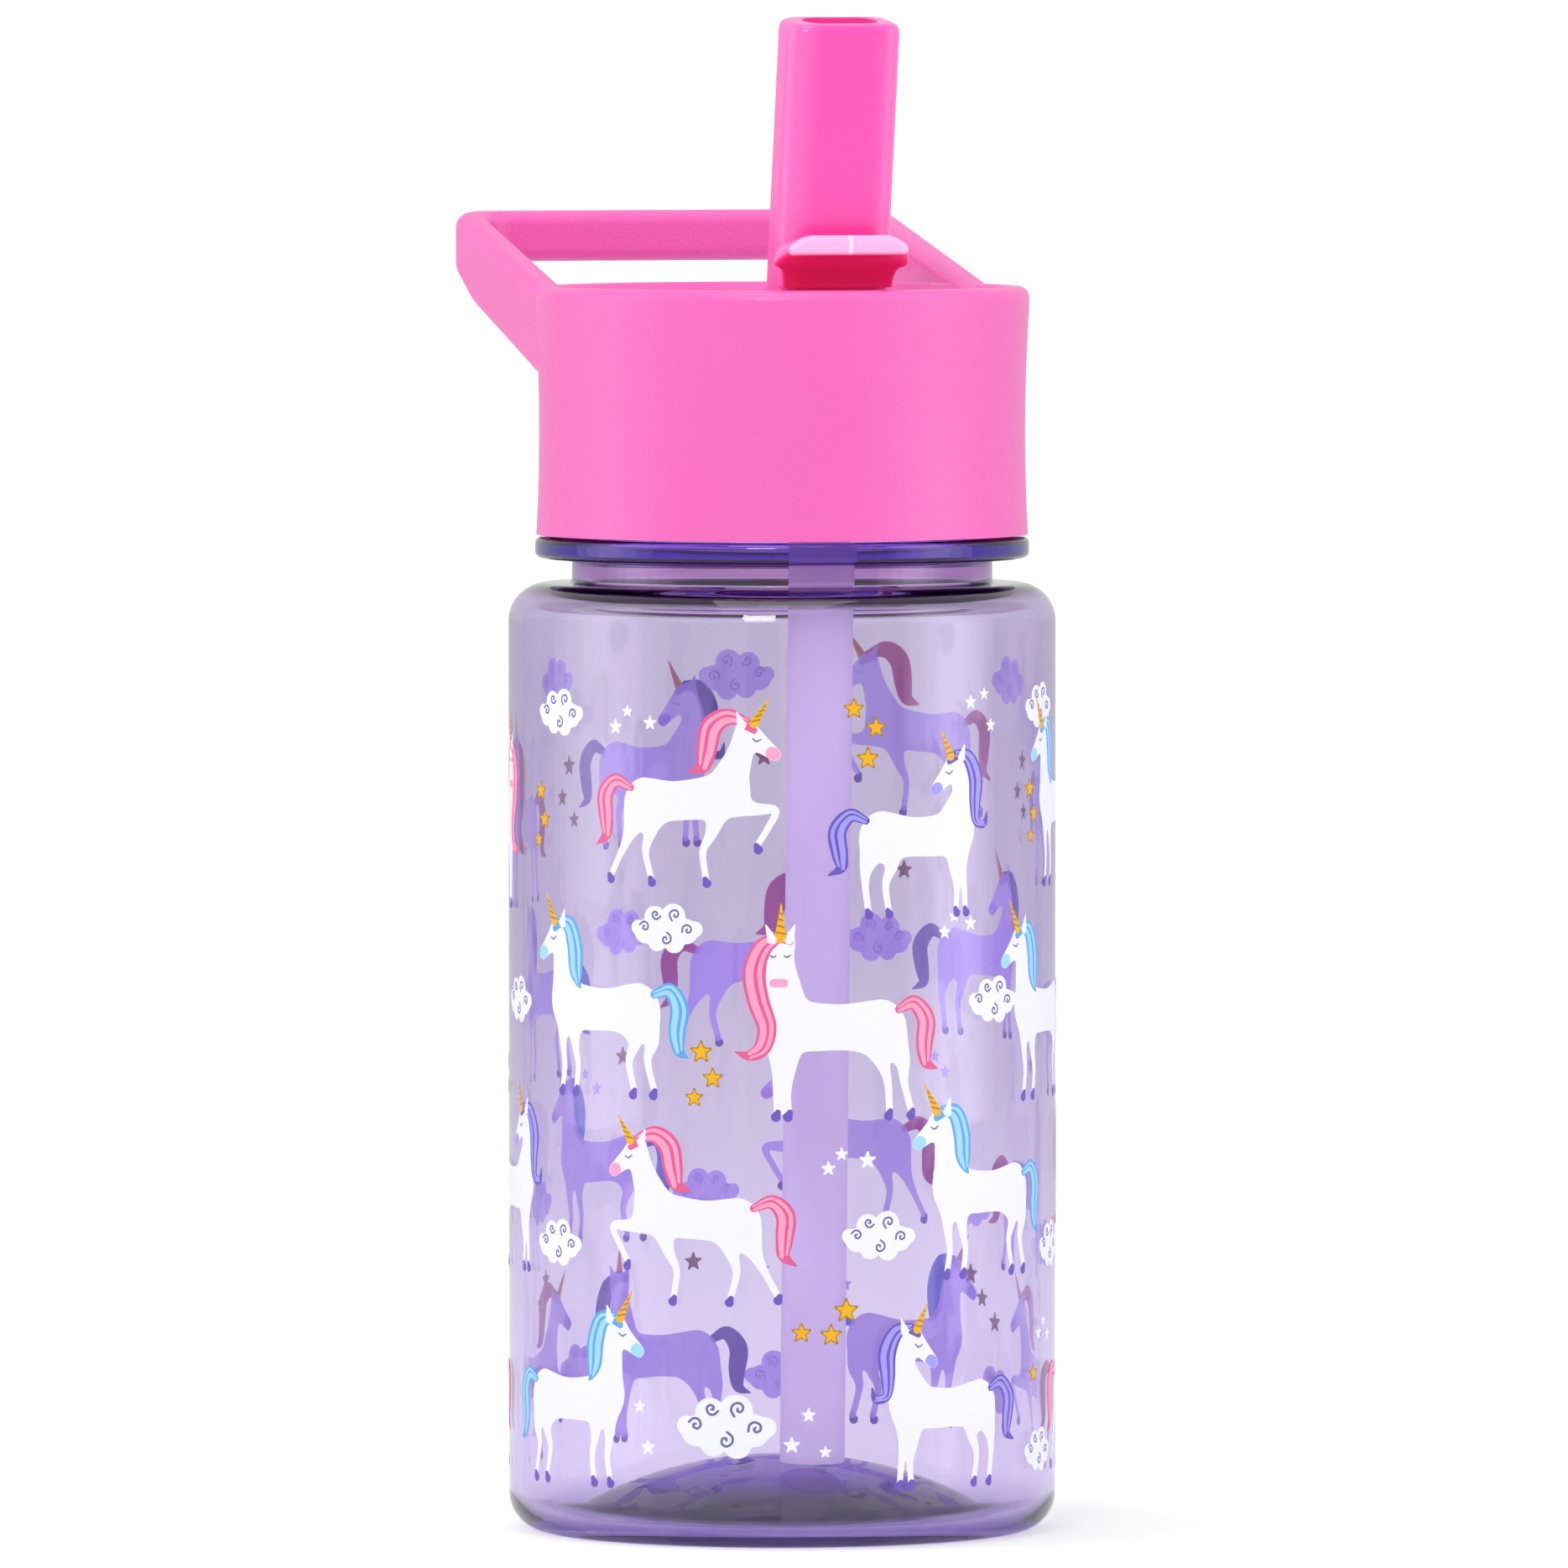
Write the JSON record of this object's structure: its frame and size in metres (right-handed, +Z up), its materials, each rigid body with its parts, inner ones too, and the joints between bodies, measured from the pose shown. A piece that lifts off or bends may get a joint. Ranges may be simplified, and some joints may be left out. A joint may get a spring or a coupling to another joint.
{
  "type": "kids water bottle",
  "caption": "Clear straw water bottle for a child: screw-on lid with carry loop, fold-down drinking spout with thumb tab, inner straw and seals.",
  "frame": {"origin": "centre of the base on the bottle's axis, on the surface it stands on", "axes": "+Z up along the bottle's axis, -Y the drinking side, +Y the carry loop, hinge of the spout along X"},
  "size_m": [0.07, 0.0856, 0.1937],
  "materials": {
    "clear_bottle": "clear, tinted lavender, printed",
    "pink_lid": "fine moulded texture",
    "pink_liner": "smooth moulded",
    "pink_spout": "satin gloss",
    "silicone": "translucent silicone",
    "frosted_straw": "frosted, translucent",
    "print_white": "screen-printed ink",
    "print_pink": "screen-printed ink",
    "print_blue": "screen-printed ink",
    "print_lilac": "screen-printed ink",
    "print_gold": "screen-printed ink"
  },
  "bodies": {
    "bottle": {"bottle_body": "clear_bottle"},
    "gasket": {"lid_gasket": "silicone"},
    "lid": {"lid_shell": "pink_lid", "lid_liner": "pink_liner", "spout_seat": "silicone", "straw": "frosted_straw", "vent_valve": "silicone"},
    "spout": {"spout": "pink_spout"}
  },
  "joints": [
    {"name": "lid_lift", "type": "slide", "parent": "bottle", "child": "gasket", "axis": [0, 0, 1], "range_m": [0, 0.0051]},
    {"name": "lid_turn", "type": "hinge", "parent": "gasket", "child": "lid", "pos_m": [0, 0, 0.1454], "axis": [0, 0, 1], "range_deg": [0, 450]},
    {"name": "spout_flip", "type": "hinge", "parent": "lid", "child": "spout", "pos_m": [0, -0.0175, 0.154], "axis": [-1, 0, 0], "range_deg": [0, 98.75]}
  ],
  "couplings": [
    {"joint": "lid_lift", "follows": "lid_turn", "m_per_rad": 0.00063662}
  ]
}
